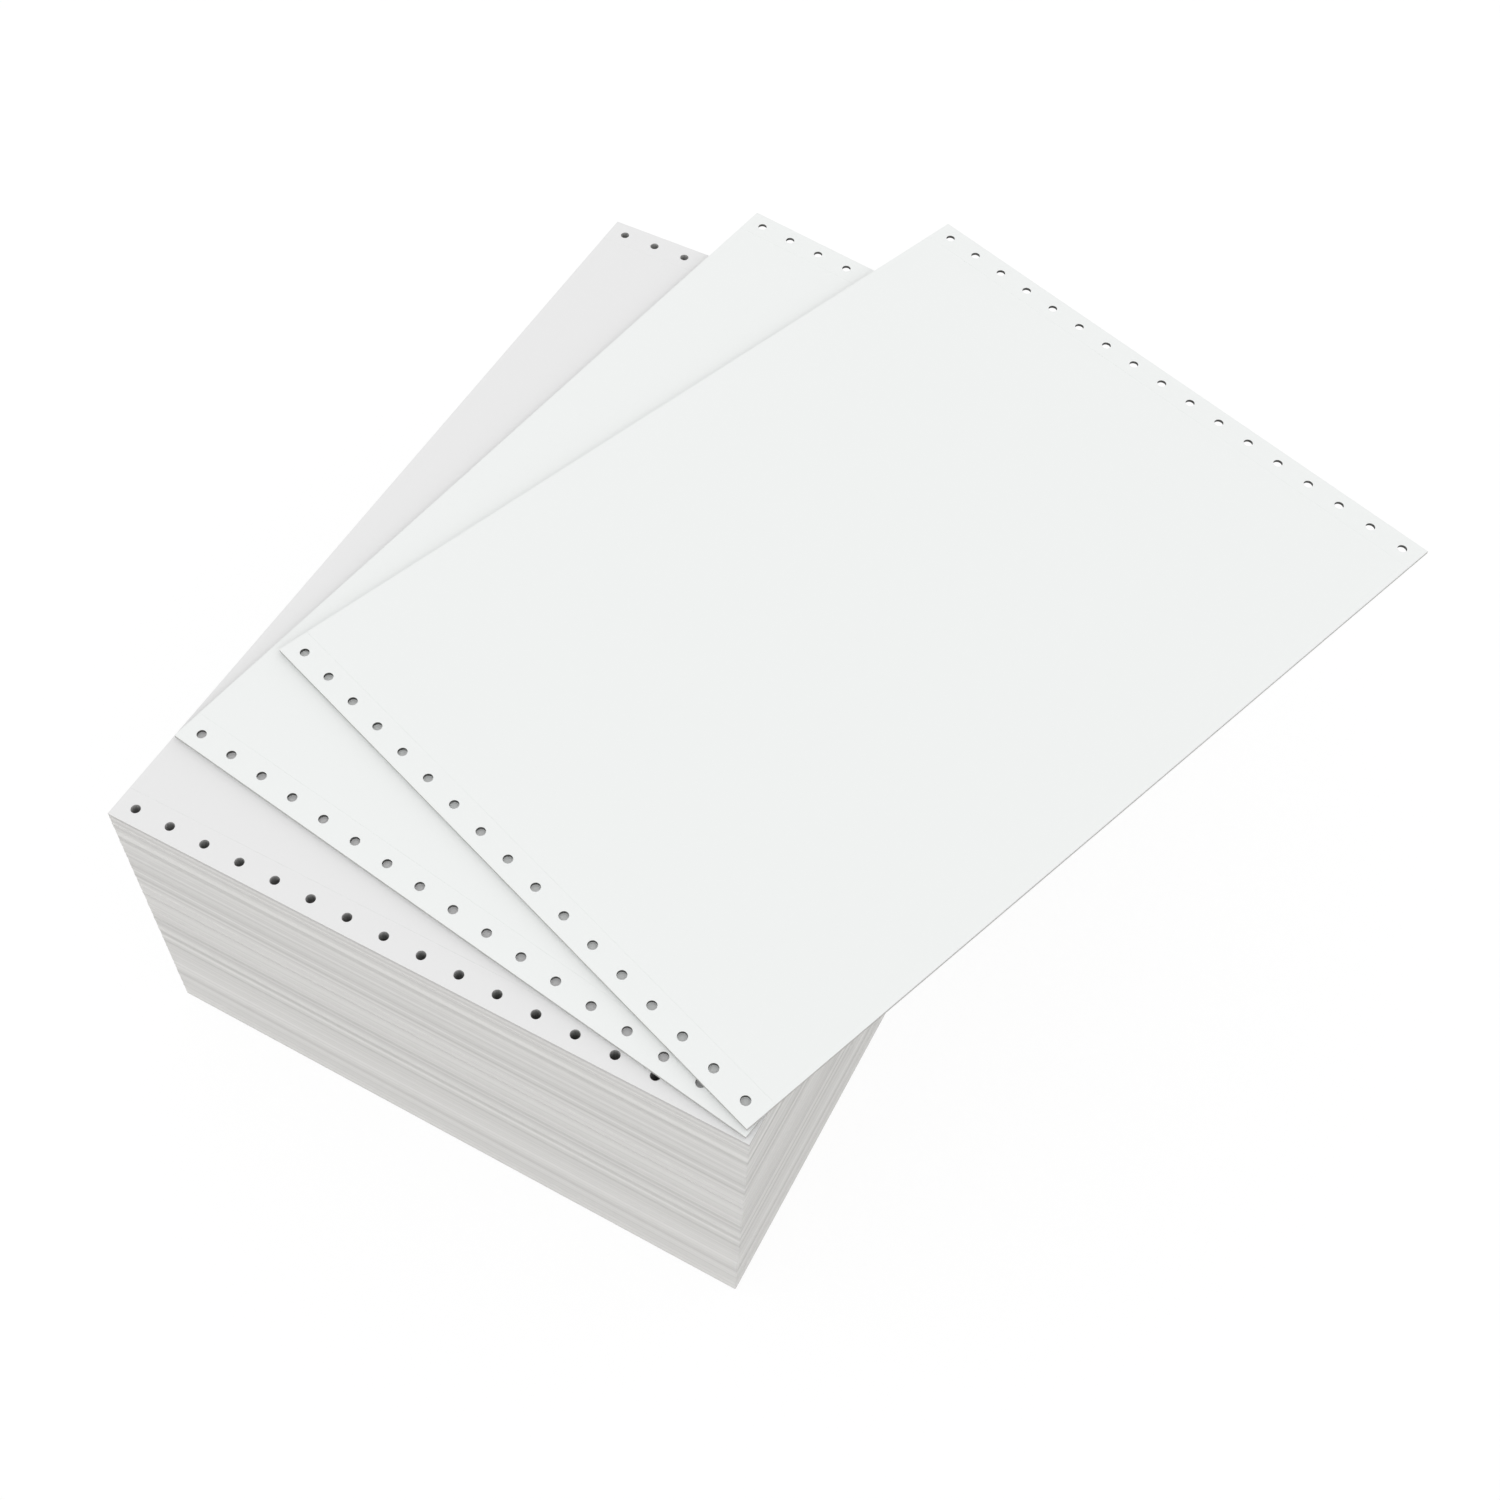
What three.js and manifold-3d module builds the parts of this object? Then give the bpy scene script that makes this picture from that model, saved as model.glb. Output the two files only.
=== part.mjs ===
// Fanfold continuous form paper: a tall block of folded forms with two thin packs fanned out on it.
// Millimetres, +Z up. X runs from fold to fold, along the rows of tractor holes. Y runs across the web,
// from cut edge to cut edge. The origin is the centre of the block's bottom face.

import * as THREE from "three";
import { mergeVertices } from "three/addons/utils/BufferGeometryUtils.js";
import Module from "manifold-3d";

const wasm = await Module();
wasm.setup();

// The web
const FORM_LENGTH = 215.9; // 8 1/2 in, from fold to fold
const WEB_WIDTH = 304.8; // 12 in, from cut edge to cut edge
const FORM_THICKNESS = 0.1;

// The tractor holes, one row in each margin
const HOLE_PITCH = 12.7; // 1/2 in
const HOLE_DIAMETER = 3.1;
const HOLE_INSET = 5.35; // from the cut edge to the centres of the row
const HOLE_SIDES = 16;

// The micro-perforations along which the margins tear off
const PERFORATION_INSET = 10.65; // from the cut edge
const PERFORATION_WIDTH = 0.3;
const PERFORATION_DEPTH = 0.05;

// The block, whose leaves are bundles of forms
const BLOCK_HEIGHT = 115; // 1,150 forms
const BUNDLE_FORMS = 10;
const BUNDLE_UNEVENNESS = 0.6; // share by which a bundle may be thicker or thinner than the mean
const BUNDLE_SLIP = 0.15; // most that a bundle's cut edges stand out of line

// The two thin packs, whose leaves are single forms
const PACK_HEIGHT = 1; // ten forms
const FORM_SLIP = 0.03; // most that a form's cut edges stand out of line
const LAY_GAP = 0.3; // air under each pack, where the forms curl and never lie quite flat

// How each pack lies on the block: its near corner is slid along X and Y and the pack turned about it
const MIDDLE_LAY = { slideX: -1.58, slideY: 0.98, turn: -8.256 };
const TOP_LAY = { slideX: -2.2, slideY: 2.58, turn: -19.298 };

// The folds. A nose joins two leaves, so it is two leaves high
const NOSE_DEPTH = 1; // in leaf thicknesses, which makes an even nose half round
const NOSE_UNEVENNESS = 0.25; // share of its depth by which a nose may fall short
const NOSE_STEPS = 2; // in each leaf's quarter of the round

// Leaves slip either way by whole steps, so that neighbours lie in line or clearly out of it
const SLIP_STEPS = 3;

// Where each stack's uneven values start
const BLOCK_SEED = 1;
const MIDDLE_SEED = 11;
const TOP_SEED = 21;

// How far a cutting shape runs past what it cuts
const OVERCUT = 1;

// What is uneven from leaf to leaf, each with values of its own
const THICKNESS = 0;
const FIRST_FOLD_SIDE = 1;
const OTHER_FOLD_SIDE = 2;
const SLIP = 3;
const SEED_STRIDE = 1000; // keeps those series apart, as it is more than a stack's leaves

const AXIS_X = new THREE.Vector3(1, 0, 0);
const AXIS_Y = new THREE.Vector3(0, 1, 0);
const AXIS_Z = new THREE.Vector3(0, 0, 1);

// A repeatable value from 0 to 1 for each leaf of a stack
function uneven(stack, quality, leaf) {
  return THREE.MathUtils.seededRandom((stack.seed + quality) * SEED_STRIDE + leaf);
}

// The same from -1 to 1
function unevenEitherWay(stack, quality, leaf) {
  return 2 * uneven(stack, quality, leaf) - 1;
}

function solidOf(geometry) {
  geometry.deleteAttribute("normal");
  geometry.deleteAttribute("uv");
  const merged = mergeVertices(geometry);
  const vertProperties = merged.attributes.position.array;
  const triVerts = new Uint32Array(merged.index.array);
  return new wasm.Manifold(new wasm.Mesh({ numProp: 3, vertProperties, triVerts }));
}

function meshOf(solid, name, material) {
  const { vertProperties, triVerts } = solid.getMesh();
  const geometry = new THREE.BufferGeometry();
  geometry.setAttribute("position", new THREE.BufferAttribute(vertProperties, 3));
  geometry.setIndex(new THREE.BufferAttribute(triVerts, 1));
  const flat = geometry.toNonIndexed();
  flat.computeVertexNormals();
  const mesh = new THREE.Mesh(flat, material);
  mesh.name = name;
  return mesh;
}

// The outline of an XZ section, extruded over a width centred on Y = 0
function extrudeAlongY(outline, width) {
  const section = new THREE.Shape(outline);
  const geometry = new THREE.ExtrudeGeometry(section, { depth: width, bevelEnabled: false });
  geometry.translate(0, 0, -width / 2);
  geometry.applyMatrix4(new THREE.Matrix4().makeBasis(AXIS_X, AXIS_Z, AXIS_Y.clone().negate()));
  return solidOf(geometry);
}

// The outline of a YZ section, extruded over a length centred on X = 0
function extrudeAlongX(outline, length) {
  const section = new THREE.Shape(outline);
  const geometry = new THREE.ExtrudeGeometry(section, { depth: length, bevelEnabled: false });
  geometry.translate(0, 0, -length / 2);
  geometry.applyMatrix4(new THREE.Matrix4().makeBasis(AXIS_Y, AXIS_Z, AXIS_X));
  return solidOf(geometry);
}

// Heights of the faces between the leaves, from 0 at the bottom to the stack's full height
function leafLevels(stack) {
  const shares = [];
  for (let leaf = 0; leaf < stack.leaves; leaf += 1) {
    shares.push(1 + stack.unevenness * unevenEitherWay(stack, THICKNESS, leaf));
  }
  const allShares = shares.reduce((sum, share) => sum + share, 0);
  const levels = [0];
  let reached = 0;
  for (const share of shares) {
    reached += share;
    levels.push((stack.height * reached) / allShares);
  }
  return levels;
}

// A fold seen along Y: a quarter of an ellipse from the lower groove's root to the seam between the two
// leaves, and another from there to the upper groove's root
function nose(rootX, depth, low, seam, high) {
  const lower = new THREE.EllipseCurve(rootX, seam, depth, seam - low, -Math.PI / 2, 0);
  const upper = new THREE.EllipseCurve(rootX, seam, depth, high - seam, 0, Math.PI / 2);
  return [...lower.getPoints(NOSE_STEPS), ...upper.getPoints(NOSE_STEPS)];
}

// One fold side from the bottom up, drawn as if it faced +X.
// The leaves below firstFold and above the last pair end in a plain torn edge.
function foldSide(stack, levels, firstFold, quality) {
  const reach = FORM_LENGTH / 2;
  const depth = NOSE_DEPTH * stack.leafThickness;
  const rootX = reach - depth;
  const points = [];
  let leaf = 0;
  while (leaf < stack.leaves) {
    const folded = leaf >= firstFold && leaf + 1 < stack.leaves;
    if (folded) {
      const shortfall = NOSE_UNEVENNESS * depth * uneven(stack, quality, leaf);
      points.push(...nose(rootX, depth - shortfall, levels[leaf], levels[leaf + 1], levels[leaf + 2]));
      leaf += 2;
    } else {
      points.push(new THREE.Vector2(reach, levels[leaf]), new THREE.Vector2(reach, levels[leaf + 1]));
      leaf += 1;
    }
  }
  return points.filter((point, index) => index === 0 || point.distanceTo(points[index - 1]) > 0);
}

// The web folded to and fro. The folds on the two sides are one leaf apart, as one web makes them
function foldedOutline(stack, levels) {
  const right = foldSide(stack, levels, 0, FIRST_FOLD_SIDE);
  const left = foldSide(stack, levels, 1, OTHER_FOLD_SIDE);
  const leftDownwards = left.reverse().map((point) => new THREE.Vector2(-point.x, point.y));
  return [...right, ...leftDownwards];
}

// The cut edges. Each leaf is as wide as the web and lies a little out of line with the next
function cutOutline(stack, levels) {
  const near = [];
  const far = [];
  for (let leaf = 0; leaf < stack.leaves; leaf += 1) {
    const covered = leaf > 0 && leaf < stack.leaves - 1;
    const steps = Math.round(SLIP_STEPS * unevenEitherWay(stack, SLIP, leaf));
    const slip = covered ? (stack.slip * steps) / SLIP_STEPS : 0;
    for (const level of [levels[leaf], levels[leaf + 1]]) {
      near.push(new THREE.Vector2(slip - WEB_WIDTH / 2, level));
      far.push(new THREE.Vector2(slip + WEB_WIDTH / 2, level));
    }
  }
  return [...far, ...near.reverse()];
}

// Both rows of tractor holes, right through a stack
function punchHoles(solid, stack) {
  const holes = Math.floor(FORM_LENGTH / HOLE_PITCH);
  const firstX = (-HOLE_PITCH * (holes - 1)) / 2;
  const rowY = WEB_WIDTH / 2 - HOLE_INSET;
  const radius = HOLE_DIAMETER / 2;
  const punchLength = stack.height + 2 * OVERCUT;
  let punched = solid;
  for (const side of [-1, 1]) {
    for (let hole = 0; hole < holes; hole += 1) {
      const punch = new THREE.CylinderGeometry(radius, radius, punchLength, HOLE_SIDES);
      punch.rotateX(Math.PI / 2);
      punch.translate(firstX + hole * HOLE_PITCH, side * rowY, stack.height / 2);
      punched = punched.subtract(solidOf(punch));
    }
  }
  return punched;
}

// The line of a margin's perforation on the top and bottom forms, as a fine score
function scorePerforations(solid, stack) {
  const lineY = WEB_WIDTH / 2 - PERFORATION_INSET;
  const half = PERFORATION_WIDTH / 2;
  let scored = solid;
  for (const side of [-1, 1]) {
    for (const [face, outwards] of [[0, -1], [stack.height, 1]]) {
      const outline = [
        new THREE.Vector2(side * lineY - half, face + outwards * OVERCUT),
        new THREE.Vector2(side * lineY - half, face),
        new THREE.Vector2(side * lineY, face - outwards * PERFORATION_DEPTH),
        new THREE.Vector2(side * lineY + half, face),
        new THREE.Vector2(side * lineY + half, face + outwards * OVERCUT),
      ];
      scored = scored.subtract(extrudeAlongX(outline, FORM_LENGTH + 2 * OVERCUT));
    }
  }
  return scored;
}

function stackSolid(stack) {
  const levels = leafLevels(stack);
  const folded = extrudeAlongY(foldedOutline(stack, levels), WEB_WIDTH + 2 * OVERCUT);
  const cut = extrudeAlongX(cutOutline(stack, levels), FORM_LENGTH + 2 * OVERCUT);
  return scorePerforations(punchHoles(folded.intersect(cut), stack), stack);
}

function makePaper() {
  return new THREE.MeshStandardMaterial({ color: "#f0f2f1", roughness: 0.85, metalness: 0 });
}

const bundleThickness = BUNDLE_FORMS * FORM_THICKNESS;

const block = {
  leaves: Math.round(BLOCK_HEIGHT / bundleThickness),
  leafThickness: bundleThickness,
  height: BLOCK_HEIGHT,
  unevenness: BUNDLE_UNEVENNESS,
  slip: BUNDLE_SLIP,
  seed: BLOCK_SEED,
};

const pack = {
  leaves: Math.round(PACK_HEIGHT / FORM_THICKNESS),
  leafThickness: FORM_THICKNESS,
  height: PACK_HEIGHT,
  unevenness: 0,
  slip: FORM_SLIP,
};

const middlePack = { ...pack, seed: MIDDLE_SEED };
const topPack = { ...pack, seed: TOP_SEED };

function makeBlock() {
  return meshOf(stackSolid(block), "fanfold_block", makePaper());
}

// A pack in a group whose origin is the pack's near corner, which the group slides and turns
function layPack(stack, name, lay, bottom) {
  const mesh = meshOf(stackSolid(stack), name, makePaper());
  mesh.position.set(-FORM_LENGTH / 2, WEB_WIDTH / 2, 0);
  const group = new THREE.Group();
  group.add(mesh);
  group.position.set(FORM_LENGTH / 2 + lay.slideX, lay.slideY - WEB_WIDTH / 2, bottom);
  group.rotation.z = THREE.MathUtils.degToRad(lay.turn);
  return group;
}

const middleBottom = block.height + LAY_GAP;
const topBottom = middleBottom + middlePack.height + LAY_GAP;

const fanfoldPaper = new THREE.Group();
fanfoldPaper.add(makeBlock());
fanfoldPaper.add(layPack(middlePack, "middle_pack", MIDDLE_LAY, middleBottom));
fanfoldPaper.add(layPack(topPack, "top_pack", TOP_LAY, topBottom));

export default fanfoldPaper;
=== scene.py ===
"""Fanfold continuous form paper: a block of folded forms with two thin packs fanned out on it."""
import math
import random

import bpy
from mathutils import Matrix, Vector


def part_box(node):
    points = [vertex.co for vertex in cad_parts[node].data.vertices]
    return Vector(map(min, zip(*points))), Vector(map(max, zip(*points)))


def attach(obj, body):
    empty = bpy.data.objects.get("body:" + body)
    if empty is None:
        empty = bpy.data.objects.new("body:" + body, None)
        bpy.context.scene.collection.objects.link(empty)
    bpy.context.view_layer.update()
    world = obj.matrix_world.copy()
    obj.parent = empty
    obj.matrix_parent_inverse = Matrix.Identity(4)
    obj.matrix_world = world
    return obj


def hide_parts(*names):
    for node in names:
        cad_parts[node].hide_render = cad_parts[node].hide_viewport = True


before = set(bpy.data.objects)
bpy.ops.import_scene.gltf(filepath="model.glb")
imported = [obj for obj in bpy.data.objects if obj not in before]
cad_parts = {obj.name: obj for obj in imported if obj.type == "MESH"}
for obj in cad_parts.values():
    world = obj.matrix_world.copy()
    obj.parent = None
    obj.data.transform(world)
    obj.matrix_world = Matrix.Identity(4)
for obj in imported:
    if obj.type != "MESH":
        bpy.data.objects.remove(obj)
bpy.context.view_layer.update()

# Sizes of the paper, in metres
MM = 0.001
FORM_LENGTH = 215.9 * MM
WEB_WIDTH = 304.8 * MM
FORM_THICKNESS = 0.1 * MM
HOLE_PITCH = 12.7 * MM
HOLE_RADIUS = 1.55 * MM
HOLE_INSET = 5.35 * MM
PERFORATION_INSET = 10.65 * MM

# How each pack lies: its near corner is slid along X and Y and the pack turned about it, in degrees
MIDDLE_LAY = {"slide": (-1.58 * MM, 0.98 * MM), "turn": -8.256}
TOP_LAY = {"slide": (-2.2 * MM, 2.58 * MM), "turn": -19.298}

# The heights come from the frame
BLOCK_HEIGHTS = [corner[2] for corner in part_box("fanfold_block")]
MIDDLE_HEIGHTS = [corner[2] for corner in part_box("middle_pack")]
TOP_HEIGHTS = [corner[2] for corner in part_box("top_pack")]

# The folds and the cut edges. Bundles of forms lie a little askew and out of line with each other
NOSE_DEPTH = 0.1 * MM
BUNDLE_FORMS = (3, 42)
BLOCK_SPREAD = 0.1 * MM
PACK_SPREAD = 0.02 * MM
STEEPEST_SKEW = 0.12
FORM_JITTER = 0.008 * MM

# The perforations: a row of cuts with ties between them, in a faint dimple
CUTS_A_HOLE = 12
CUT_SHARE = 0.72
CUT_WIDTH = 0.03 * MM
CUT_ROOT_WIDTH = 0.01 * MM
DIMPLE_WIDTH = 0.8 * MM
DIMPLE_DEPTH = 0.012 * MM

# Level rings of points up the sides, to each form
BLOCK_RINGS_A_FORM = 2
PACK_RINGS_A_FORM = 4

# The holes' rims and walls
RIM_STEPS_A_SIDE = 12
RIM_STEPS = 4 * RIM_STEPS_A_SIDE
WALL_FORMS_AT_ENDS = 5
WALL_FORMS_BETWEEN = 90

# Points are one when they agree in steps of which a metre has this many. Room is left for rounding
POINT_STEPS_A_METRE = 1e8
ROUNDING = 1e-9

# Gaps on the flat map, between faces and between the walls of holes
MAP_GAP = 4 * MM
WALL_MAP_GAP = 1 * MM

SEED = 17

# Paper: colours on a screen, from 0 to 255, and the finest relief of its fibres
# Painted shade: the block's faces are painted greyer than the packs' faces, standing in for the
# broad soft shade over the block's top
BLOCK_FACE_PAINTED_SHADE_COLOUR = (234, 234, 234)
PACK_FACE_COLOUR = (240, 242, 241)
# The edges' streaks are random tone, and the edges are also painted darker than the faces: painted
# shade for the sides and for the gaps between forms
BLOCK_EDGE_STREAK_AND_SHADE_COLOURS = ((178, 177, 175), (192, 191, 189), (213, 212, 210))
# The packs' edges are painted darker still: painted shade for the dark line and contact shadow
# along the packs' edges
PACK_EDGE_STREAK_AND_SHADE_COLOURS = ((159, 158, 156), (166, 165, 163), (178, 177, 175))
# Painted shade: the punched walls of the holes are painted grey, darker in the packs, standing in
# for the shade inside the holes
BLOCK_HOLE_SHADE_COLOUR = (172, 172, 171)
PACK_HOLE_SHADE_COLOUR = (88, 88, 87)
FACE_ROUGHNESS = 0.8
CUT_ROUGHNESS = 0.9
FACE_SHINE = 0.25
EDGE_SHINE = 0.15
FIBRE_SCALE = 4200.0
FIBRE_RELIEF = 0.12
FIBRE_DEPTH = 0.02 * MM
COARSE_DETAIL = 1.0
FINE_DETAIL = 2.0

# Streaks on the edges: heaps, bundles and streaks, each as noise cells a metre up the stack.
# Streaks are long and thin, so they have a scale for each axis. The edge colours stand at three
# levels of the noise, from dark to light
HEAP_SCALE = 65.0
BUNDLE_SCALE = 330.0
STREAK_SCALE = (3.0, 3.0, 2100.0)
STREAK_SHARE = 0.4
HEAP_SHARE = 0.3
EDGE_NOISE = (0.26, 0.38, 0.62)

# Painted shade just under the block's top form: the edges darken between two depths, by this much
# of the noise
RIM_PAINTED_SHADE_DEPTHS = (2.0 * MM, 0.8 * MM)
RIM_PAINTED_SHADE = 0.22

# The studio, in metres and watts
WHITE = (1.0, 1.0, 1.0, 1.0)
HORIZON_LIGHT = 1.93
ZENITH_LIGHT = 0.43
LAMP_WATTS = 4.0
LAMP_DIAMETER = 2.4
LAMP_HEIGHT = 2.2
FLOOR_PALENESS = 0.85
FLOOR_WHITE = 1.045
FLOOR_WHITE_SHARE = 0.85
FLOOR_REACH = 30.0
FLOOR_DROP = 0.0002

# The camera, solved from the photograph's tractor holes and sheet edges. Its turn is in radians
IMAGE_SIZE = 1500
FOCAL_PIXELS = 1885.66
PRINCIPAL_POINT = (662.83, 758.92)
CAMERA_PLACE = (0.18462, -0.33840, 0.58745)
CAMERA_TURN = (0.60209, -0.00091, 0.50829)
SENSOR = 36.0
NEAREST_SEEN = 0.01
FARTHEST_SEEN = 100.0

# Kinds of face, in the order of the materials
FACE, EDGE, PUNCHED = range(3)

OUTWARDS = {"near": (0, -1, 0), "far": (0, 1, 0), "right": (1, 0, 0), "left": (-1, 0, 0)}

HALF_LENGTH = FORM_LENGTH / 2
HALF_WIDTH = WEB_WIDTH / 2
HOLES = math.floor(FORM_LENGTH / HOLE_PITCH)


class Builder:
    """Collects points and faces, with each face's material and its place on the flat map."""

    def __init__(self):
        self.points = []
        self.faces = []
        self.kinds = []
        self.places = []
        self.found = {}

    def point(self, corner):
        """The index of a point, which is new unless one is already in that place."""
        key = tuple(round(value * POINT_STEPS_A_METRE) for value in corner)
        if key not in self.found:
            self.found[key] = len(self.points)
            self.points.append(tuple(corner))
        return self.found[key]

    def face(self, corners, kind, places, outwards):
        """A face that looks outwards, whichever way its corners run, and its places on the map."""
        normal = Vector((0, 0, 0))
        first = Vector(corners[0])
        for before, after in zip(corners[1:], corners[2:]):
            normal += (Vector(before) - first).cross(Vector(after) - first)
        if normal.dot(Vector(outwards)) < 0:
            corners = corners[::-1]
            places = places[::-1]
        self.faces.append([self.point(corner) for corner in corners])
        self.kinds.append(kind)
        self.places.append(places)

    def charted(self, corners, kind, chart, outwards):
        """A face whose place on the map follows from its corners."""
        self.face(corners, kind, [chart(*corner) for corner in corners], outwards)

    def mesh(self, name, materials, page):
        """The mesh, with its materials and its flat map on a page of the given side."""
        mesh = bpy.data.meshes.new(name)
        mesh.from_pydata(self.points, [], self.faces)
        for material in materials:
            mesh.materials.append(material)
        mesh.polygons.foreach_set("material_index", self.kinds)
        layer = mesh.uv_layers.new(name="OFBake")
        flat = [value / page for places in self.places for place in places for value in place]
        layer.uv.foreach_set("vector", flat)
        mesh.update()
        return mesh


def flat_map(height):
    """Charts that lay a stack's faces out on one square page, and the page's side."""
    gap = MAP_GAP
    second = 2 * gap + FORM_LENGTH
    rows = [gap]
    for row_height in (WEB_WIDTH, height, height, height, height):
        rows.append(rows[-1] + row_height + gap)
    charts = {
        "top": lambda x, y, z: (gap + x + HALF_LENGTH, rows[0] + y + HALF_WIDTH),
        "bottom": lambda x, y, z: (second + x + HALF_LENGTH, rows[0] + y + HALF_WIDTH),
        "right": lambda x, y, z: (gap + y + HALF_WIDTH, rows[1] + z),
        "left": lambda x, y, z: (gap + y + HALF_WIDTH, rows[2] + z),
        "near": lambda x, y, z: (gap + x + HALF_LENGTH, rows[3] + z),
        "far": lambda x, y, z: (second + x + HALF_LENGTH, rows[3] + z),
        "walls": lambda along, z: (gap + along, rows[4] + z),
    }
    page = max(rows[5], 3 * gap + 2 * FORM_LENGTH)
    return charts, page


def skewed(size, spread, chance):
    """Places out of line for the forms of one bundle, which lies askew by a steady slope."""
    thickness = size * FORM_THICKNESS
    steepest = min(STEEPEST_SKEW, 2 * spread / thickness)
    skew = chance.uniform(-steepest, steepest)
    room = spread - abs(skew) * thickness / 2
    offset = chance.uniform(-room, room)
    return [offset + skew * FORM_THICKNESS * (form - (size - 1) / 2) for form in range(size)]


def bundle_places(count, spread, chance):
    """From the bottom up, how far each seam slips across the web and its fold sides fall short."""
    slips, rights, lefts = [], [], []
    while len(slips) <= count:
        least, most = BUNDLE_FORMS
        size = round(least * (most / least) ** chance.random())
        slips += skewed(size, spread, chance)
        rights += [spread - place for place in skewed(size, spread, chance)]
        lefts += [spread - place for place in skewed(size, spread, chance)]
    jitter = min(FORM_JITTER, spread / 2)
    slips = [slip + chance.uniform(-jitter, jitter) for slip in slips[:count + 1]]
    for end in (0, count):
        slips[end] = rights[end] = lefts[end] = 0.0
    return slips, rights, lefts


def behind_tip(seam, first_fold, count):
    """How far the edge lies behind a fold's tip at a height counted in forms.

    A fold joins two forms. Its tip is at the seam between them, its roots a form above and below.
    The forms below the first fold and above the last one end in a plain torn edge.
    """
    last_fold_end = first_fold + 2 * ((count - first_fold) // 2)
    if seam < first_fold or seam > last_fold_end:
        return 0.0
    from_tip = abs((seam - first_fold) % 2 - 1)
    return NOSE_DEPTH * (1 - math.sqrt(max(0.0, 1 - from_tip ** 2)))


def between(values, seam):
    """The value at a height counted in forms."""
    low = min(math.floor(seam), len(values) - 2)
    share = seam - low
    return values[low] * (1 - share) + values[low + 1] * share


def edge_rings(count, places, rings_a_form):
    """The outline (z, left, right, near, far) at each height, from the bottom up."""
    slips, rights, lefts = places
    rings = []
    for step in range(count * rings_a_form + 1):
        seam = step / rings_a_form
        right = HALF_LENGTH - between(rights, seam) - behind_tip(seam, 0, count)
        left = HALF_LENGTH - between(lefts, seam) - behind_tip(seam, 1, count)
        slip = between(slips, seam)
        rings.append((seam * FORM_THICKNESS, -left, right, slip - HALF_WIDTH, slip + HALF_WIDTH))
    return rings


def cell_edges(ring):
    """Where the margin is parted into one cell for each hole, from one fold side to the other."""
    _, left, right, _, _ = ring
    inner = [HOLE_PITCH * (hole - HOLES / 2) for hole in range(1, HOLES)]
    return [left, *inner, right]


def rim_steps(low, high):
    """Even steps from low to high, as many as along one side of a cell."""
    return [low + (high - low) * step / RIM_STEPS_A_SIDE for step in range(RIM_STEPS_A_SIDE + 1)]


def side_walls(builder, rings, charts):
    """The four sides. Their first and last faces share every point of the bottom and top forms."""
    for low, high in zip(rings, rings[1:]):
        for name in OUTWARDS:
            lower = wall_ends(low, name)
            upper = wall_ends(high, name)
            if low is rings[0]:
                lower = along_form(low, name, -1)
            if high is rings[-1]:
                upper = along_form(high, name, 1)
            builder.charted(lower + upper[::-1], EDGE, charts[name], OUTWARDS[name])


def wall_ends(ring, name):
    """The two ends of one side at a ring's height, in the order of rising x or y."""
    z, left, right, near, far = ring
    ends = {
        "near": [(left, near, z), (right, near, z)],
        "far": [(left, far, z), (right, far, z)],
        "right": [(right, near, z), (right, far, z)],
        "left": [(left, near, z), (left, far, z)],
    }
    return ends[name]


def along_form(ring, name, outwards):
    """All the points of the top or bottom form along one side, in the order of rising x or y."""
    z, left, right, near, far = ring
    if name in ("near", "far"):
        y = near if name == "near" else far
        edges = cell_edges(ring)
        stops = [x for low, high in zip(edges, edges[1:]) for x in rim_steps(low, high)[:-1]]
        return [(x, y, z) for x in [*stops, right]]
    x = left if name == "left" else right
    points = []
    for side, cut in ((-1, near), (1, far)):
        lines = dimple_lines(side)
        points += [(x, y, z) for y in rim_steps(cut, inner_margin(side))]
        points += [(x, lines[0], z), (x, lines[3], z)]
        points += [(x, y, z - outwards * DIMPLE_DEPTH) for y in lines[1:3]]
    return sorted(points, key=lambda point: point[1])


def inner_margin(side):
    """Where the holes' cells end, as far inside the holes as the cut edge is outside them."""
    return side * (HALF_WIDTH - 2 * HOLE_INSET + DIMPLE_WIDTH)


def dimple_lines(side):
    """The four lines of a perforation, from low y to high: dimple, cut, cut and dimple."""
    line = side * (HALF_WIDTH - PERFORATION_INSET)
    halves = (-DIMPLE_WIDTH / 2, -CUT_WIDTH / 2, CUT_WIDTH / 2, DIMPLE_WIDTH / 2)
    return [line + half for half in halves]


def hole_rim(centre_x, hole_y):
    """The round rim, from the corner at the lowest x and y, anticlockwise seen from above."""
    turn = -3 * math.pi / 4
    rim = []
    for step in range(RIM_STEPS):
        angle = turn + step * math.tau / RIM_STEPS
        x = centre_x + HOLE_RADIUS * math.cos(angle)
        y = hole_y + HOLE_RADIUS * math.sin(angle)
        rim.append((x, y))
    return rim


def cell_outline(low_x, high_x, low_y, high_y):
    """A cell's outline, with a point for each one of the rim and in the same order."""
    xs = rim_steps(low_x, high_x)
    ys = rim_steps(low_y, high_y)
    outline = [(x, low_y) for x in xs[:-1]]
    outline += [(high_x, y) for y in ys[:-1]]
    outline += [(x, high_y) for x in reversed(xs[1:])]
    outline += [(low_x, y) for y in reversed(ys[1:])]
    return outline


def cut_stops(low, high):
    """Places along a perforation: (start, end, whether it is cut through)."""
    pitch = (high - low) / CUTS_A_HOLE
    tie = pitch * (1 - CUT_SHARE) / 2
    stops = []
    for cut in range(CUTS_A_HOLE):
        start = low + cut * pitch
        stops.append((start, start + tie, False))
        stops.append((start + tie, start + pitch - tie, True))
        stops.append((start + pitch - tie, start + pitch, False))
    return stops


def level_face(builder, corners, z, outwards, chart):
    """A level piece of paper, from its corners in x and y."""
    builder.charted([(x, y, z) for x, y in corners], FACE, chart, (0, 0, outwards))


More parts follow.
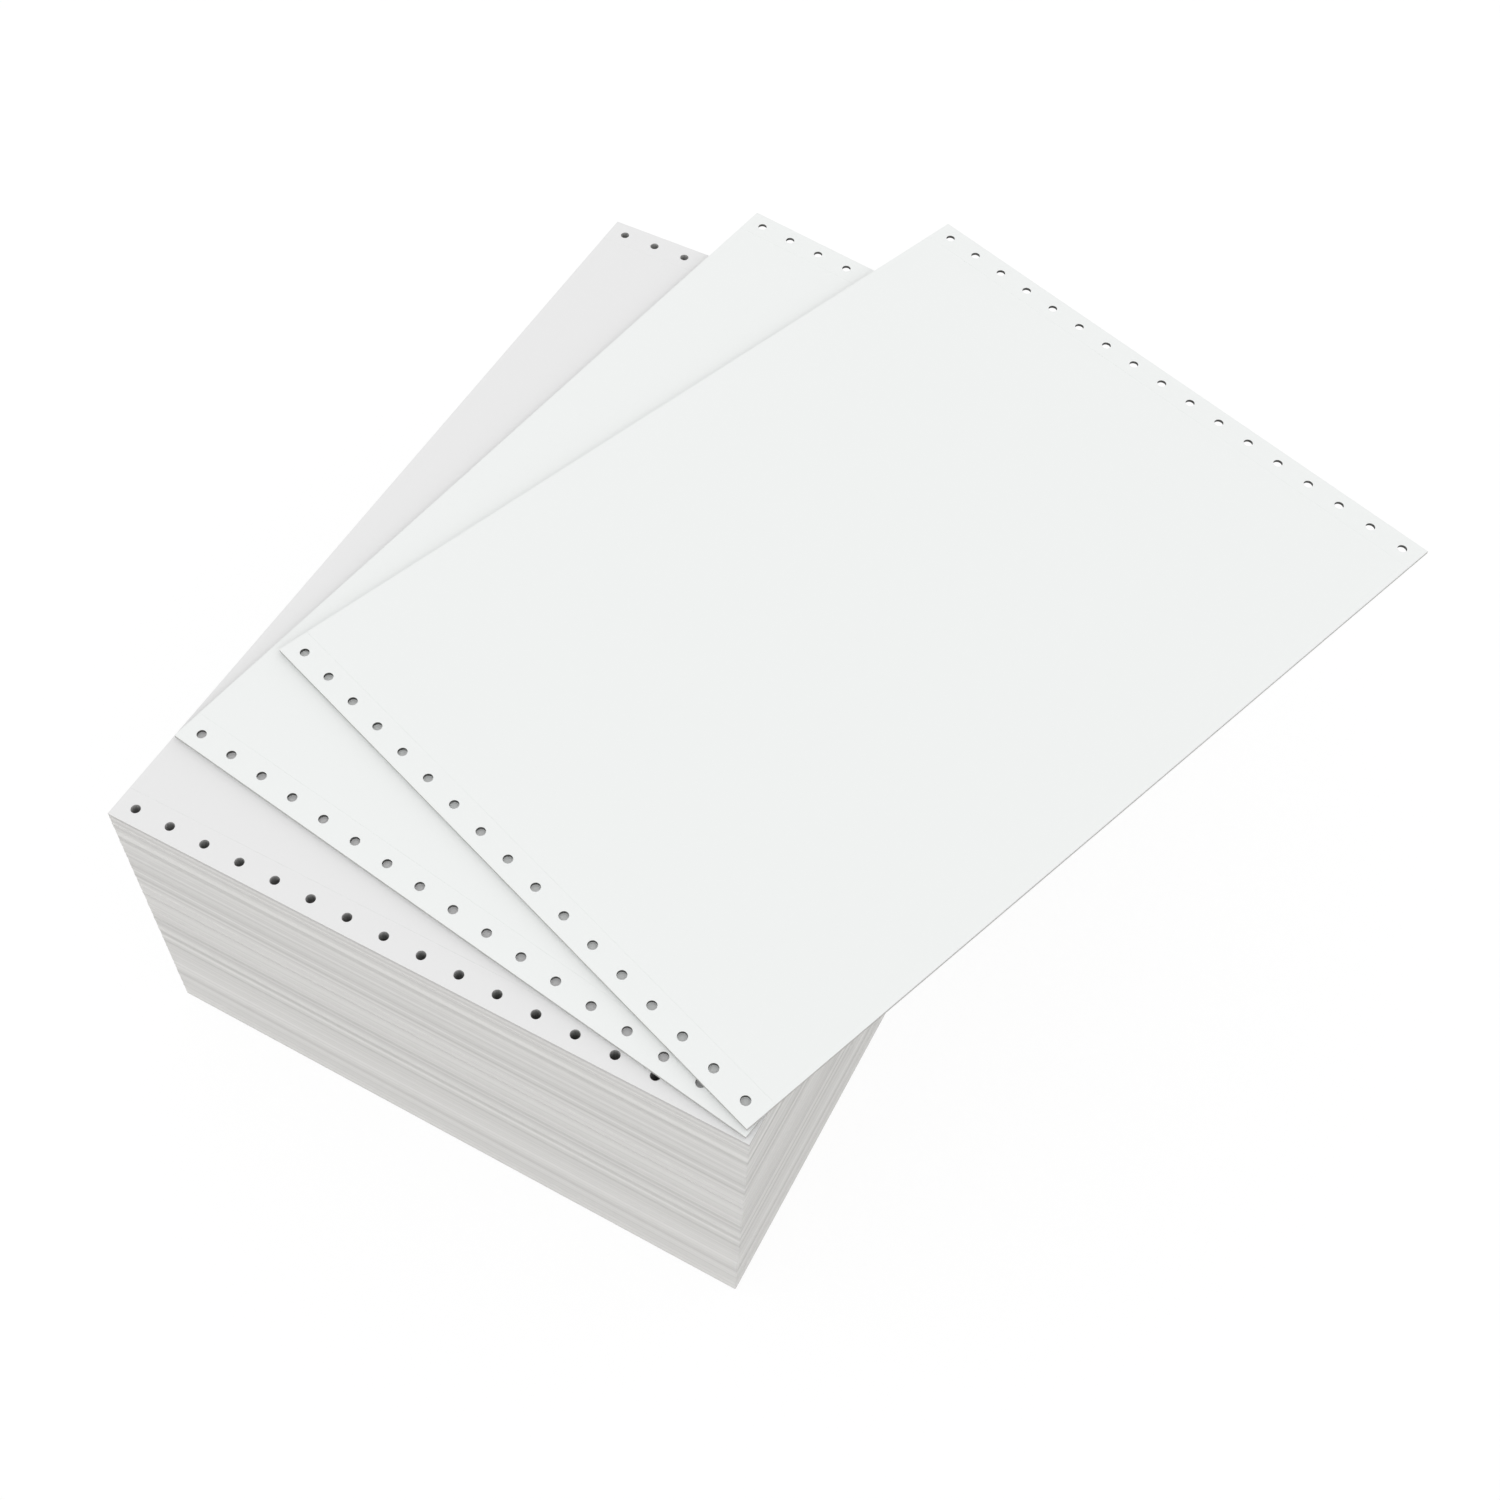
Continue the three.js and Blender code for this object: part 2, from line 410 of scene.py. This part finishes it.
def hole_cell(builder, low_x, high_x, side, cut, z, outwards, chart):
    """The paper round one hole, and the strip that parts it from the perforation's dimple."""
    centre_x = round((low_x + high_x) / 2 / HOLE_PITCH) * HOLE_PITCH
    hole_y = side * (HALF_WIDTH - HOLE_INSET)
    inner = inner_margin(side)
    low_y, high_y = sorted((cut, inner))
    rim = hole_rim(centre_x, hole_y)
    outline = cell_outline(low_x, high_x, low_y, high_y)
    for step in range(RIM_STEPS):
        after = (step + 1) % RIM_STEPS
        corners = [rim[step], outline[step], outline[after], rim[after]]
        level_face(builder, corners, z, outwards, chart)
    dimple = min(dimple_lines(side), key=lambda line: abs(line - inner))
    stops = cut_stops(low_x, high_x)
    xs = rim_steps(low_x, high_x)
    for start, end in zip(xs, xs[1:]):
        along = [stop for stop, _, _ in stops if start - ROUNDING <= stop < end - ROUNDING] + [end]
        corners = [(start, inner), (end, inner)] + [(x, dimple) for x in reversed(along)]
        level_face(builder, corners, z, outwards, chart)
    return rim


def perforation(builder, low_x, high_x, side, z, outwards, chart):
    """The dimple's two slopes, and between them the ties and the cuts, which narrow downwards."""
    line = side * (HALF_WIDTH - PERFORATION_INSET)
    sunk = z - outwards * DIMPLE_DEPTH
    root = z - outwards * FORM_THICKNESS
    root_half = CUT_ROOT_WIDTH / 2
    up = (0, 0, outwards)
    lines = dimple_lines(side)
    for start, end, is_cut in cut_stops(low_x, high_x):
        for outer, inner in ((lines[0], lines[1]), (lines[3], lines[2])):
            slope = [(start, outer, z), (end, outer, z), (end, inner, sunk), (start, inner, sunk)]
            builder.charted(slope, FACE, chart, up)
        if not is_cut:
            tie = [(start, lines[1], sunk), (end, lines[1], sunk),
                   (end, lines[2], sunk), (start, lines[2], sunk)]
            builder.charted(tie, FACE, chart, up)
            continue
        low, high = start + root_half, end - root_half
        for way, mouth in ((-1, lines[1]), (1, lines[2])):
            bottom = line + way * root_half
            wall = [(start, mouth, sunk), (end, mouth, sunk),
                    (high, bottom, root), (low, bottom, root)]
            builder.charted(wall, FACE, chart, up)
        for mouth, bottom in ((start, low), (end, high)):
            near, far = line - root_half, line + root_half
            wall = [(mouth, lines[1], sunk), (mouth, lines[2], sunk),
                    (bottom, far, root), (bottom, near, root)]
            builder.charted(wall, FACE, chart, up)
        floor = [(low, line - root_half, root), (high, line - root_half, root),
                 (high, line + root_half, root), (low, line + root_half, root)]
        builder.charted(floor, FACE, chart, up)


def form_face(builder, ring, outwards, chart):
    """The top or bottom form: two punched margins, two perforations and the sheet between them."""
    z, _, _, near, far = ring
    edges = cell_edges(ring)
    rims = []
    for low_x, high_x in zip(edges, edges[1:]):
        for side, cut in ((-1, near), (1, far)):
            rims.append(hole_cell(builder, low_x, high_x, side, cut, z, outwards, chart))
            perforation(builder, low_x, high_x, side, z, outwards, chart)
        stops = [start for start, _, _ in cut_stops(low_x, high_x)] + [high_x]
        low_y, high_y = dimple_lines(-1)[3], dimple_lines(1)[0]
        corners = [(x, low_y) for x in stops] + [(x, high_y) for x in reversed(stops)]
        level_face(builder, corners, z, outwards, chart)
    return rims


def wall_seams(count):
    """Seams where a hole's wall has a ring: each one near the ends, and some of those between."""
    seams = []
    for seam in range(count + 1):
        from_end = min(seam, count - seam)
        if from_end < WALL_FORMS_AT_ENDS or seam % WALL_FORMS_BETWEEN == 0:
            seams.append(seam)
    return seams


def hole_walls(builder, rims, slips, count, chart):
    """The punched walls. Each form's hole shifts with the form, so the wall wavers a little."""
    seams = wall_seams(count)
    step_length = math.tau * HOLE_RADIUS / RIM_STEPS
    for hole, rim in enumerate(rims):
        centre_x = sum(x for x, _ in rim) / RIM_STEPS
        centre_y = sum(y for _, y in rim) / RIM_STEPS
        first = hole * (math.tau * HOLE_RADIUS + WALL_MAP_GAP)
        for step in range(RIM_STEPS):
            x0, y0 = rim[step]
            x1, y1 = rim[(step + 1) % RIM_STEPS]
            start = first + step * step_length
            end = start + step_length
            for low, high in zip(seams, seams[1:]):
                z0, z1 = low * FORM_THICKNESS, high * FORM_THICKNESS
                corners = [(x0, y0 + slips[low], z0), (x1, y1 + slips[low], z0),
                           (x1, y1 + slips[high], z1), (x0, y0 + slips[high], z1)]
                places = [chart(start, z0), chart(end, z0), chart(end, z1), chart(start, z1)]
                builder.face(corners, PUNCHED, places, (centre_x - x0, centre_y - y0, 0))


def near_corner_lay(lay, bottom):
    """Where a stack modelled round its own centre goes, when its near corner is slid and turned."""
    corner = Vector((HALF_LENGTH, -HALF_WIDTH, 0))
    slide = Vector((*lay["slide"], bottom))
    turn = Matrix.Rotation(math.radians(lay["turn"]), 4, "Z")
    return Matrix.Translation(corner + slide) @ turn @ Matrix.Translation(-corner)


def stack_mesh(name, heights, spread, rings_a_form, materials, lay, seed):
    """A whole stack of folded forms, modelled round its own centre and then laid in its place."""
    chance = random.Random(seed)
    height = heights[1] - heights[0]
    count = round(height / FORM_THICKNESS)
    charts, page = flat_map(height)
    places = bundle_places(count, spread, chance)
    rings = edge_rings(count, places, rings_a_form)
    builder = Builder()
    side_walls(builder, rings, charts)
    form_face(builder, rings[0], -1, charts["bottom"])
    rims = form_face(builder, rings[-1], 1, charts["top"])
    hole_walls(builder, rims, places[0], count, charts["walls"])
    mesh = builder.mesh(name, materials, page)
    mesh.transform(lay)
    return mesh


def nodes_of(owner):
    """The empty node tree of a material or world."""
    owner.use_nodes = True
    tree = owner.node_tree
    tree.nodes.clear()
    return tree


def add(tree, kind, **values):
    """A new node, with its sockets set by name and its properties by attribute."""
    node = tree.nodes.new(kind)
    for name, value in values.items():
        if name in node.inputs:
            node.inputs[name].default_value = value
        else:
            setattr(node, name, value)
    return node


def linear(value):
    """One part of a screen's colour, from 0 to 255, in the linear numbers that Blender uses."""
    share = value / 255
    return share / 12.92 if share <= 0.04045 else ((share + 0.055) / 1.055) ** 2.4


def srgb(colour):
    """A screen's colour, from 0 to 255, as a node takes it."""
    return (*(linear(value) for value in colour), 1.0)


def paper_material(name, colour, roughness):
    """Plain matt paper, with the finest relief of its fibres."""
    material = bpy.data.materials.new(name)
    tree = nodes_of(material)
    output = add(tree, "ShaderNodeOutputMaterial")
    shader = add(tree, "ShaderNodeBsdfPrincipled", Roughness=roughness)
    shader.inputs["Base Color"].default_value = srgb(colour)
    shader.inputs["Specular IOR Level"].default_value = FACE_SHINE
    place = add(tree, "ShaderNodeTexCoord")
    fibres = add(tree, "ShaderNodeTexNoise", Scale=FIBRE_SCALE, Detail=FINE_DETAIL)
    bump = add(tree, "ShaderNodeBump", Strength=FIBRE_RELIEF, Distance=FIBRE_DEPTH)
    tree.links.new(place.outputs["Object"], fibres.inputs["Vector"])
    tree.links.new(fibres.outputs["Fac"], bump.inputs["Height"])
    tree.links.new(bump.outputs["Normal"], shader.inputs["Normal"])
    tree.links.new(shader.outputs["BSDF"], output.inputs["Surface"])
    return material


def with_painted_rim_shade(tree, noise, height, rim):
    """The noise, with a band of painted shade just under the rim."""
    shade = add(tree, "ShaderNodeMapRange", interpolation_type="SMOOTHSTEP")
    deep, shallow = RIM_PAINTED_SHADE_DEPTHS
    shade.inputs["From Min"].default_value = rim - deep
    shade.inputs["From Max"].default_value = rim - shallow
    shade.inputs["To Max"].default_value = RIM_PAINTED_SHADE
    less = add(tree, "ShaderNodeMath", operation="SUBTRACT")
    tree.links.new(height, shade.inputs["Value"])
    tree.links.new(noise, less.inputs[0])
    tree.links.new(shade.outputs["Result"], less.inputs[1])
    return less.outputs["Value"]


def edge_material(name, colours, rim=None):
    """The edges of many forms: level streaks, some of them one bundle wide and some a few forms.

    The colours run from dark to light. Just under the rim, a height, the streaks carry a band of
    painted shade.
    """
    material = bpy.data.materials.new(name)
    tree = nodes_of(material)
    output = add(tree, "ShaderNodeOutputMaterial")
    shader = add(tree, "ShaderNodeBsdfPrincipled", Roughness=CUT_ROUGHNESS)
    shader.inputs["Specular IOR Level"].default_value = EDGE_SHINE
    place = add(tree, "ShaderNodeTexCoord")
    parts = add(tree, "ShaderNodeSeparateXYZ")
    upwards = {"noise_dimensions": "1D", "Detail": COARSE_DETAIL}
    heaps = add(tree, "ShaderNodeTexNoise", Scale=HEAP_SCALE, **upwards)
    bundles = add(tree, "ShaderNodeTexNoise", Scale=BUNDLE_SCALE, **upwards)
    stretch = add(tree, "ShaderNodeMapping")
    stretch.inputs["Scale"].default_value = STREAK_SCALE
    streaks = add(tree, "ShaderNodeTexNoise", Scale=1.0, Detail=FINE_DETAIL)
    fine = add(tree, "ShaderNodeMix", data_type="FLOAT", Factor=STREAK_SHARE)
    both = add(tree, "ShaderNodeMix", data_type="FLOAT", Factor=HEAP_SHARE)
    ramp = add(tree, "ShaderNodeValToRGB")
    steps = ramp.color_ramp.elements
    steps.new(EDGE_NOISE[1])
    for step, level, colour in zip(steps, EDGE_NOISE, colours):
        step.position = level
        step.color = srgb(colour)
    tree.links.new(place.outputs["Object"], parts.inputs["Vector"])
    tree.links.new(place.outputs["Object"], stretch.inputs["Vector"])
    tree.links.new(parts.outputs["Z"], heaps.inputs["W"])
    tree.links.new(parts.outputs["Z"], bundles.inputs["W"])
    tree.links.new(stretch.outputs["Vector"], streaks.inputs["Vector"])
    tree.links.new(bundles.outputs["Fac"], fine.inputs["A"])
    tree.links.new(streaks.outputs["Fac"], fine.inputs["B"])
    tree.links.new(fine.outputs["Result"], both.inputs["A"])
    tree.links.new(heaps.outputs["Fac"], both.inputs["B"])
    noise = both.outputs["Result"]
    if rim is not None:
        noise = with_painted_rim_shade(tree, noise, parts.outputs["Z"], rim)
    tree.links.new(noise, ramp.inputs["Fac"])
    tree.links.new(ramp.outputs["Color"], shader.inputs["Base Color"])
    tree.links.new(shader.outputs["BSDF"], output.inputs["Surface"])
    return material


def floor_material():
    """White with a trace of the shadow to the camera, and a pale floor to every other ray."""
    material = bpy.data.materials.new("studio_floor")
    tree = nodes_of(material)
    output = add(tree, "ShaderNodeOutputMaterial")
    pale = (FLOOR_PALENESS, FLOOR_PALENESS, FLOOR_PALENESS, 1.0)
    floor = add(tree, "ShaderNodeBsdfDiffuse", Color=pale)
    white = add(tree, "ShaderNodeEmission", Color=WHITE, Strength=FLOOR_WHITE)
    mix = add(tree, "ShaderNodeMixShader")
    path = add(tree, "ShaderNodeLightPath")
    share = add(tree, "ShaderNodeMath", operation="MULTIPLY")
    share.inputs[1].default_value = FLOOR_WHITE_SHARE
    tree.links.new(path.outputs["Is Camera Ray"], share.inputs[0])
    tree.links.new(share.outputs["Value"], mix.inputs["Fac"])
    tree.links.new(floor.outputs["BSDF"], mix.inputs[1])
    tree.links.new(white.outputs["Emission"], mix.inputs[2])
    tree.links.new(mix.outputs["Shader"], output.inputs["Surface"])
    return material


def new_object(name, data):
    """An object with the given mesh, lamp or camera, in the scene."""
    piece = bpy.data.objects.new(name, data)
    bpy.context.scene.collection.objects.link(piece)
    return piece


def make_floor():
    """A wide level floor, just below the block."""
    mesh = bpy.data.meshes.new("studio_floor")
    reach = FLOOR_REACH
    corners = [(-reach, -reach, 0), (reach, -reach, 0), (reach, reach, 0), (-reach, reach, 0)]
    mesh.from_pydata(corners, [], [(0, 1, 2, 3)])
    mesh.materials.append(floor_material())
    floor = new_object("studio_floor", mesh)
    floor.location.z = -FLOOR_DROP


def make_world():
    """White to the camera and to mirrors, and else a dome that is brightest at the horizon."""
    world = bpy.data.worlds.new("studio")
    bpy.context.scene.world = world
    tree = nodes_of(world)
    output = add(tree, "ShaderNodeOutputWorld")
    seen = add(tree, "ShaderNodeBackground", Color=WHITE, Strength=1.0)
    light = add(tree, "ShaderNodeBackground", Color=WHITE)
    place = add(tree, "ShaderNodeTexCoord")
    parts = add(tree, "ShaderNodeSeparateXYZ")
    level = add(tree, "ShaderNodeMapRange")
    level.inputs["To Min"].default_value = HORIZON_LIGHT
    level.inputs["To Max"].default_value = ZENITH_LIGHT
    tree.links.new(place.outputs["Generated"], parts.inputs["Vector"])
    tree.links.new(parts.outputs["Z"], level.inputs["Value"])
    tree.links.new(level.outputs["Result"], light.inputs["Strength"])
    path = add(tree, "ShaderNodeLightPath")
    either = add(tree, "ShaderNodeMath", operation="MAXIMUM")
    any_way = add(tree, "ShaderNodeMath", operation="MAXIMUM")
    mix = add(tree, "ShaderNodeMixShader")
    tree.links.new(path.outputs["Is Camera Ray"], either.inputs[0])
    tree.links.new(path.outputs["Is Glossy Ray"], either.inputs[1])
    tree.links.new(either.outputs["Value"], any_way.inputs[0])
    tree.links.new(path.outputs["Is Transmission Ray"], any_way.inputs[1])
    tree.links.new(any_way.outputs["Value"], mix.inputs["Fac"])
    tree.links.new(light.outputs["Background"], mix.inputs[1])
    tree.links.new(seen.outputs["Background"], mix.inputs[2])
    tree.links.new(mix.outputs["Shader"], output.inputs["Surface"])


def make_lamp():
    """A large soft box straight above."""
    lamp = bpy.data.lights.new("soft_box", "AREA")
    lamp.shape = "DISK"
    lamp.size = LAMP_DIAMETER
    lamp.energy = LAMP_WATTS
    box = new_object("soft_box", lamp)
    box.location = (0.0, 0.0, LAMP_HEIGHT)


def make_camera():
    """The photograph's camera, with the small shift of its frame."""
    camera = bpy.data.cameras.new("camera")
    camera.sensor_width = SENSOR
    camera.lens = FOCAL_PIXELS / IMAGE_SIZE * SENSOR
    camera.shift_x = (IMAGE_SIZE / 2 - PRINCIPAL_POINT[0]) / IMAGE_SIZE
    camera.shift_y = (PRINCIPAL_POINT[1] - IMAGE_SIZE / 2) / IMAGE_SIZE
    camera.clip_start = NEAREST_SEEN
    camera.clip_end = FARTHEST_SEEN
    holder = new_object("camera", camera)
    holder.location = CAMERA_PLACE
    holder.rotation_euler = CAMERA_TURN
    bpy.context.scene.camera = holder


make_camera()
make_world()
make_lamp()
make_floor()
bpy.context.scene.view_settings.view_transform = "Standard"

block_materials = (
    paper_material("block_face_painted_shade", BLOCK_FACE_PAINTED_SHADE_COLOUR, FACE_ROUGHNESS),
    edge_material("block_edge_streaks_and_shade", BLOCK_EDGE_STREAK_AND_SHADE_COLOURS, BLOCK_HEIGHTS[1]),
    paper_material("block_hole_painted_shade", BLOCK_HOLE_SHADE_COLOUR, CUT_ROUGHNESS),
)
pack_materials = (
    paper_material("pack_face", PACK_FACE_COLOUR, FACE_ROUGHNESS),
    edge_material("pack_edge_streaks_and_shade", PACK_EDGE_STREAK_AND_SHADE_COLOURS),
    paper_material("pack_hole_painted_shade", PACK_HOLE_SHADE_COLOUR, CUT_ROUGHNESS),
)
block_lay = Matrix.Identity(4)
middle_lay = near_corner_lay(MIDDLE_LAY, MIDDLE_HEIGHTS[0])
top_lay = near_corner_lay(TOP_LAY, TOP_HEIGHTS[0])

# Each stack's piece, its node, heights, spread, rings a form, materials and lay
STACKS = (
    ("block_forms", "fanfold_block",
     BLOCK_HEIGHTS, BLOCK_SPREAD, BLOCK_RINGS_A_FORM, block_materials, block_lay),
    ("middle_pack_forms", "middle_pack",
     MIDDLE_HEIGHTS, PACK_SPREAD, PACK_RINGS_A_FORM, pack_materials, middle_lay),
    ("top_pack_forms", "top_pack",
     TOP_HEIGHTS, PACK_SPREAD, PACK_RINGS_A_FORM, pack_materials, top_lay),
)

for number, (name, node, heights, spread, rings_a_form, materials, lay) in enumerate(STACKS):
    mesh = stack_mesh(name, heights, spread, rings_a_form, materials, lay, SEED + number)
    piece = new_object(name, mesh)
    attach(piece, "root")
    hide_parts(node)
